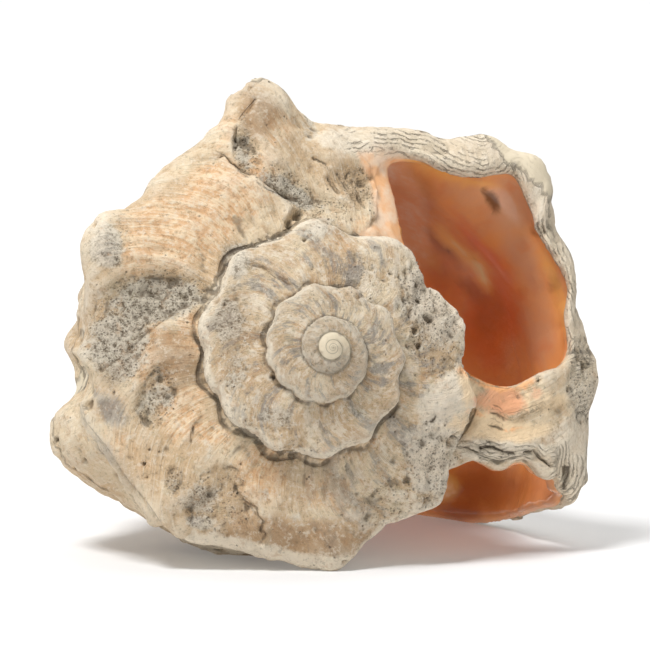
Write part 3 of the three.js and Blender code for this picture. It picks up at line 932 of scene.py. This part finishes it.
class Wire:
    # a socket of a node tree that can stand in a Python expression
    def __init__(self, tree, socket=None):
        self.tree, self.socket = tree, socket

    def node(self, kind, settings, inputs, output=0):
        # one node: its settings first, then the values or links of its sockets
        made = self.tree.nodes.new(kind)
        for key, value in settings.items():
            setattr(made, key, value)
        for key, value in inputs.items():
            if isinstance(value, Wire):
                self.tree.links.new(value.socket, made.inputs[key])
            else:
                made.inputs[key].default_value = value
        return Wire(self.tree, made.outputs[output])

    def maths(self, operation, *values):
        return self.node("ShaderNodeMath", {"operation": operation}, dict(enumerate(values)))

    def __add__(self, other):
        return self.maths("ADD", self, other)

    def __sub__(self, other):
        return self.maths("SUBTRACT", self, other)

    def __rsub__(self, other):
        return self.maths("SUBTRACT", other, self)

    def __mul__(self, other):
        return self.maths("MULTIPLY", self, other)

    def __truediv__(self, other):
        return self.maths("DIVIDE", self, other)

    __radd__ = __add__
    __rmul__ = __mul__


def tone(red, green, blue):
    # a colour as the eye counts it, 0 to 255, made linear
    return tuple((value / 255 / 12.92 if value < 11 else ((value / 255 + 0.055) / 1.055) ** 2.4)
                 for value in (red, green, blue)) + (1,)


# colours of the worn lime, outside and inside
limeColours = {
    "cream": (222, 202, 170), "sand": (202, 174, 138), "paleLine": (232, 219, 197),
    "apricot": (212, 168, 124), "paleApricot": (232, 207, 172), "ash": (208, 199, 182),
    "dirt": (122, 113, 98), "slate": (130, 128, 126), "chalk": (230, 218, 198), "crevice": (98, 84, 64),
    "deepCrevice": (66, 52, 38), "layer": (216, 203, 180), "layerLine": (134, 120, 96),
    "wax": (222, 208, 180), "tan": (180, 140, 98), "olive": (158, 146, 116), "orange": (246, 170, 100),
    "rust": (236, 118, 24), "amberAndHighlight": (255, 206, 112), "red": (232, 100, 44), "mauve": (220, 170, 136),
    "stain": (104, 62, 26), "foldPink": (244, 190, 140), "foldPale": (250, 226, 200),
    "brownAndShade": (150, 84, 42), "shadeUmber": (150, 124, 94), "paintedHighlight": (255, 244, 190),
    "terracotta": (240, 172, 128), "rimOrange": (252, 186, 126), "creamBand": (244, 216, 176),
}
limeFinish = {"coatRoughness": 0.18, "lines": 0.1, "beads": 0.08, "grain": 0.23, "dust": 0.08, "pits": 0.3,
              "glow": 0.035, "roughness": 0.86, "gloss": 0.5, "waxGloss": 0.25, "coat": 0.45,
              "refraction": 1.5, "bumpHeight": 0.001}


def makeLime():
    material = bpy.data.materials.new("worn lime")
    material.use_nodes = True
    tree = material.node_tree
    tree.nodes.clear()
    wire = Wire(tree)
    place = wire.node("ShaderNodeTexCoord", {}, {}, "Object")
    colour = {name: tone(*values) for name, values in limeColours.items()}

    def area(name):
        return wire.node("ShaderNodeAttribute", {"attribute_name": name}, {}, "Fac")

    def grain(scale, detail=4, roughness=0.6, spots=place):
        # noise about nought, mostly within half either way
        made = wire.node("ShaderNodeTexNoise", {},
                         {"Vector": spots, "Scale": scale, "Detail": detail, "Roughness": roughness}, "Fac")
        return (made - 0.5) * 3

    def soft(value, low, high):
        return wire.node("ShaderNodeMapRange", {"interpolation_type": "SMOOTHSTEP"},
                         {"Value": value, "From Min": low, "From Max": high})

    def mix(share, below, above):
        return wire.node("ShaderNodeMix", {"data_type": "RGBA"}, {0: share, 6: below, 7: above}, 2)

    growthTurn, length, eroded, early = area("growthTurn"), area("length"), area("eroded"), area("early")

    def along(turns, lengths):
        return wire.node("ShaderNodeCombineXYZ", {}, {"X": growthTurn * turns, "Y": length * lengths})

    large, middle, fine, tiny = grain(75, 3), grain(240, 4, 0.65), grain(1000, 4, 0.7), grain(3400, 3, 0.7)
    lines = grain(1, 3, 0.6, along(430, 9))
    bands = grain(1, 3, 0.6, along(60, 4))
    beads = grain(1, 2, 0.5, along(150, 34))
    streaks = grain(1, 4, 0.65, along(34, 2.2))
    otherStreaks = grain(1, 4, 0.65, along(52, 3))

    def paint(share, name):
        # that share of the colour is laid over the look so far
        nonlocal look
        look = mix(share, look, colour[name])

    # outside: cream and sand, with tan lines of growth
    look = mix(soft(large + middle * 0.6, -0.35, 0.35), colour["sand"], colour["cream"])
    paint(soft(lines, 0, 0.6) * 0.5, "paleLine")
    lineShare = soft(lines * 0.7 + beads * 0.6 + fine * 0.3, -0.4, 0.4)
    peachShare = soft(area("peach") + middle * 0.25 + bands * 0.2 + fine * 0.1, 0.3, 0.75)
    look = mix(peachShare * 0.9, look, mix(lineShare, colour["apricot"], colour["paleApricot"]))
    # tan patches, partly painted shade at the knob top and the underside
    paint(soft(area("tan") + middle * 0.25 + fine * 0.15, 0.3, 0.9) * 0.7, "tan")

    # the early whorls are streaked with slate, tan and white
    paint(soft(streaks + middle * 0.5, 0.0, 0.4) * early * 0.7, "slate")
    paint(soft(otherStreaks + fine * 0.4, 0.05, 0.45) * early * 0.6, "tan")
    paint(soft(streaks * -1 + fine * 0.6, 0.05, 0.4) * early * 0.65, "chalk")

    # grey, slate and chalk where the surface has weathered
    greyShare = soft(area("grey") + large * 0.15 + middle * 0.35 + fine * 0.2, 0.32, 0.65)
    greyGrit = mix(soft(fine + tiny * 0.6, -0.5, 0.15), colour["dirt"], colour["ash"])
    look = mix(greyShare * 0.85, look, greyGrit)
    slateShare = soft(area("slate") + middle * 0.35 + lines * 0.2, 0.35, 0.85)
    paint(slateShare * 0.7, "slate")
    chalkShare = soft(area("chalk") + middle * 0.35 + fine * 0.25, 0.3, 0.7)
    paint(chalkShare * 0.75, "chalk")
    # raised spots are painted paler
    paint(area("raised") * 0.4, "chalk")
    paint(area("young") * soft(fine + middle, -0.6, 0.5) * 0.6, "chalk")
    # painted shade: the shade areas are darkened towards a dark umber
    paint(soft(area("shade") + middle * 0.3 + fine * 0.15, 0.1, 0.9) * 0.5, "shadeUmber")
    paint(soft(area("shoulder") + fine * 0.25, 0.3, 0.8) * 0.85, "paleLine")

    # tan, olive and pale flecks everywhere
    paint(soft(grain(430, 3, 0.7) + large * 0.3, 0.18, 0.55) * 0.4, "tan")
    paint(soft(grain(300, 4, 0.7), 0.2, 0.6) * 0.35, "olive")
    paint(soft(grain(520, 4, 0.7), 0.18, 0.55) * 0.45, "chalk")

    # the low spots of the fine relief are painted darker, as dirt and painted shade, and its high spots
    # paler, as a painted highlight
    gritAndShading = fine * 0.7 + tiny * 0.3
    paint(soft(gritAndShading * -1, 0.06, 0.45) * (0.42 + eroded * 0.25), "crevice")
    paint(soft(gritAndShading, 0.05, 0.4) * 0.5, "chalk")

    # layers of growth at the lip
    layers = area("layers")
    phase = area("layerPhase") * 0.8 + middle * 0.9 + large * 1.6 + fine * 0.2
    wave = wire.maths("SINE", phase * math.tau)
    layerLine = soft(fine * 1.2 + middle * 0.6 + tiny * 0.5 - wave, 0.5, 1.3) * layers
    layerLine = layerLine * soft(middle + large * 0.8, -0.4, 0.4)
    look = mix(layers * 0.6, look, mix(soft(fine + tiny * 0.5, -0.3, 0.4), colour["layer"], colour["chalk"]))
    paint(layerLine * 0.55, "layerLine")
    for name in ("creamBand", "terracotta", "rimOrange"):
        share = soft(area(name) + middle * 0.25 + fine * 0.2 + bands * 0.1, 0.2, 0.8)
        paint(share * 0.85, name)

    # the first whorls are waxy and smooth
    oldness = area("oldness")
    paint(oldness * 0.8, "wax")
    acrossX, acrossY = area("acrossX"), area("acrossY")
    away = wire.maths("SQRT", acrossX * acrossX + acrossY * acrossY)
    around = wire.maths("ARCTAN2", acrossY, acrossX) / math.tau
    spiral = wire.maths("LOGARITHM", away / 6.5, 2) - around + 20.5
    spiralGap = wire.maths("ABSOLUTE", away * math.log(2) * (wire.maths("FRACT", spiral) - 0.5))
    spiralLine = (1 - soft(spiralGap / (away + 0.4), 0.01, 0.07)) * (1 - soft(away, 3.2, 4.4))

    # dots, pits and crevices, painted dark: painted shade in the hollows
    cells = wire.node("ShaderNodeTexVoronoi", {}, {"Vector": place, "Scale": 700}, "Distance")
    smallCells = wire.node("ShaderNodeTexVoronoi", {}, {"Vector": place, "Scale": 1600}, "Distance")
    dots = (1 - soft(cells, 0.05, 0.18)) * soft(middle + eroded * 0.6, 0.05, 0.4)
    smallDots = (1 - soft(smallCells, 0.1, 0.36)) * soft(fine * 0.5 + eroded, 0.1, 0.7)
    dots = wire.maths("MAXIMUM", dots, smallDots * 0.8) * (1 - oldness)
    paint(dots * 0.7, "crevice")
    paint(spiralLine * 0.6, "layerLine")
    # painted shade in crevices, below ledges, in the suture and in pits
    crevice = area("crevice")
    paint(soft(crevice + fine * 0.25, 0.15, 0.9) * 0.7, "crevice")
    # painted shade in the cracks, the larger pits and the suture's groove
    crackGap = wire.maths("ABSOLUTE", area("crackGap")) + fine * 0.5 + middle * 0.5
    crack = (1 - soft(crackGap, 0.1, 0.9)) * soft(area("crackNear"), 0.3, 0.7) * area("crackDark")
    crack = crack * soft(middle + fine * 0.6, -0.6, 0.2)
    seamGap = wire.maths("ABSOLUTE", area("seamGap") + 0.12) + fine * 0.12 + middle * 0.1
    seamLine = (1 - soft(seamGap, 0.08, 0.4)) * (0.2 + area("seamDark") * 0.75)
    deep = wire.maths("MAXIMUM", crack * 0.85, seamLine)
    paint(deep * 0.8, "deepCrevice")

    # inside: glossy orange to rust
    inner = mix(soft(large + bands * 0.9, -0.4, 0.5) * 0.45, colour["orange"], colour["mauve"])
    for name, strength in (("mauve", 0.8), ("rust", 0.8), ("red", 0.7)):
        inner = mix(area(name) * strength, inner, colour[name])
    inner = mix(soft(bands + middle * 0.3, 0.0, 0.6) * 0.3, inner, colour["rust"])
    # the brown is mostly painted shade, and the amber streak with its bright spot is a painted highlight
    for name, strength in (("brownAndShade", 0.75), ("amberAndHighlight", 0.9), ("paintedHighlight", 0.9)):
        inner = mix(area(name) * strength, inner, colour[name])
    inner = mix(soft(area("stain") + middle * 0.12 + fine * 0.1, 0.1, 0.95) * 0.85, inner, colour["stain"])
    insideShare = soft(area("inside") + middle * 0.1, 0.35, 0.6)
    look = mix(insideShare, look, inner)
    # painted glow: the inside emits a little light of its own colour
    glow = mix(insideShare, (0, 0, 0, 1), inner)    # light comes through the thin walls
    foldShare = area("fold")
    foldLook = mix(soft(middle + large * 0.8, -0.4, 0.5) * 0.8, colour["foldPink"], colour["foldPale"])
    look = mix(foldShare, look, foldLook)

    glossy = wire.maths("MAXIMUM", insideShare, foldShare)
    height = (lines * limeFinish["lines"] * (1 - eroded * 0.7) + beads * limeFinish["beads"] * (1 - eroded)
              + fine * limeFinish["grain"] * (0.35 + eroded) + tiny * limeFinish["dust"] * (0.4 + eroded)
              - dots * limeFinish["pits"] - deep * 0.35 - layerLine * 0.4 - spiralLine * 0.12)
    height = height * (1 - glossy) * (1 - oldness * 0.8) + (middle * 0.06 + large * 0.15) * glossy
    bump = wire.node("ShaderNodeBump", {},
                     {"Strength": 1, "Distance": limeFinish["bumpHeight"], "Height": height})
    roughness = limeFinish["roughness"] - glossy * limeFinish["gloss"] - oldness * limeFinish["waxGloss"]
    shader = wire.node("ShaderNodeBsdfPrincipled", {}, {
        "Base Color": look, "Roughness": roughness, "Coat Weight": glossy * limeFinish["coat"],
        "Coat Roughness": limeFinish["coatRoughness"], "Normal": bump, "IOR": limeFinish["refraction"],
        "Emission Color": glow, "Emission Strength": limeFinish["glow"]})
    tree.links.new(shader.socket, tree.nodes.new("ShaderNodeOutputMaterial").inputs["Surface"])
    return material


shell.data.materials.clear()
shell.data.materials.append(makeLime())
shell.data.shade_smooth()
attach(shell, "root")
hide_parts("shell")
print("shell dressed")

# floor and backdrop in one sweep
stage = {"half": 3, "front": -2.5, "curveFrom": 1.2, "curve": 0.8, "top": 3.5,
         "colour": (0.74, 0.74, 0.74, 1), "glow": 0.14, "roughness": 0.9, "curveSteps": 12, "sky": 0.18}
bm = bmesh.new()
sweep = [bm.verts.new((-stage["half"], y, 0)) for y in (stage["front"], stage["curveFrom"])]
for step in range(stage["curveSteps"]):
    angle = (step + 1) / stage["curveSteps"] * math.pi / 2
    sweep.append(bm.verts.new((-stage["half"], stage["curveFrom"] + stage["curve"] * math.sin(angle),
                               stage["curve"] - stage["curve"] * math.cos(angle))))
sweep.append(bm.verts.new((-stage["half"], stage["curveFrom"] + stage["curve"], stage["top"])))
edges = [bm.edges.new((a, b)) for a, b in zip(sweep, sweep[1:])]
bmesh.ops.translate(bm, vec=(2 * stage["half"], 0, 0), verts=extruded(bm, edges)[1])
bmesh.ops.recalc_face_normals(bm, faces=bm.faces)
floor = objectFrom(bm, "floor")
floorMaterial = bpy.data.materials.new("pale floor")
floorMaterial.use_nodes = True
floorShader = {"Base Color": stage["colour"], "Roughness": stage["roughness"],
               "Emission Color": (1, 1, 1, 1), "Emission Strength": stage["glow"]}
for key, value in floorShader.items():
    floorMaterial.node_tree.nodes["Principled BSDF"].inputs[key].default_value = value
floor.data.materials.append(floorMaterial)

lens = bpy.data.cameras.new("camera")
lens.lens = picture["lens"]
lens.sensor_width = picture["sensor"]
lens.clip_end = 20
camera = newObject("camera", lens)
rows = [(*row, spot) for row, spot in zip(np.stack((right, up, -view), 1), cameraPlace)]
camera.matrix_world = Matrix(rows + [(0, 0, 0, 1)])
bpy.context.scene.camera = camera

# soft light from above and from the front left
lamps = {
    "key": {"place": (-0.4, -0.5, 1.05), "size": 0.35, "power": 14},
    "fill": {"place": (0.6, -0.9, 0.45), "size": 0.6, "power": 1.1},
    "top": {"place": (0.15, 0.3, 1.2), "size": 0.6, "power": 3},
    "backdrop": {"place": (0, 0.7, 1.7), "size": 1.2, "power": 26, "towards": (0, 2, 0.9)},
}
for name, values in lamps.items():
    light = bpy.data.lights.new(name, "AREA")
    light.size = values["size"]
    light.energy = values["power"]
    lamp = newObject(name, light)
    lamp.location = values["place"]
    beam = Vector(values.get("towards", (0, 0, 0.04))) - lamp.location
    lamp.rotation_euler = beam.to_track_quat("-Z", "Y").to_euler()
world = bpy.data.worlds.new("studio")
world.use_nodes = True
world.node_tree.nodes["Background"].inputs["Color"].default_value = (1, 1, 1, 1)
world.node_tree.nodes["Background"].inputs["Strength"].default_value = stage["sky"]
bpy.context.scene.world = world
bpy.context.scene.view_settings.view_transform = "Standard"

print("scene ready")
